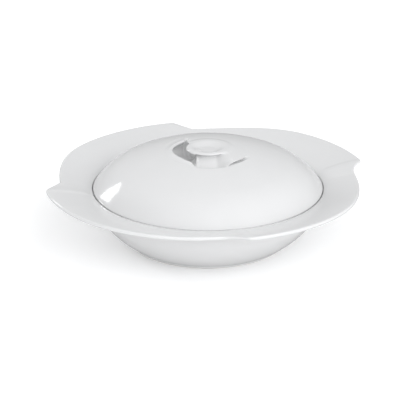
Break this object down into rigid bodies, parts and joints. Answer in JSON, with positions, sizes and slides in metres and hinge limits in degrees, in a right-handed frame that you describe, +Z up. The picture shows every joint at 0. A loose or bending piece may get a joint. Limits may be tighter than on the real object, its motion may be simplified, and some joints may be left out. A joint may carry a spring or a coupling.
{
  "type": "covered casserole dish",
  "caption": "Round white glazed porcelain casserole dish with a wide pinwheel rim, a foot ring and a shallow domed lid with a swirled knob.",
  "frame": {"origin": "centre of the foot ring on the table plane, on the axis of the bowl", "axes": "+Z up along the axis of the bowl and lid, +X to the right and +Y away from the viewer in the stored view"},
  "size_m": [0.2922, 0.2922, 0.0901],
  "materials": {
    "dish_glaze": "gloss",
    "lid_glaze": "gloss"
  },
  "bodies": {
    "dish": {"dish": "dish_glaze"},
    "lid": {"lid": "lid_glaze"}
  },
  "joints": [
    {"name": "lid_lift", "type": "slide", "parent": "dish", "child": "lid", "axis": [0, 0, 1], "range_m": [0, 0.12]}
  ]
}
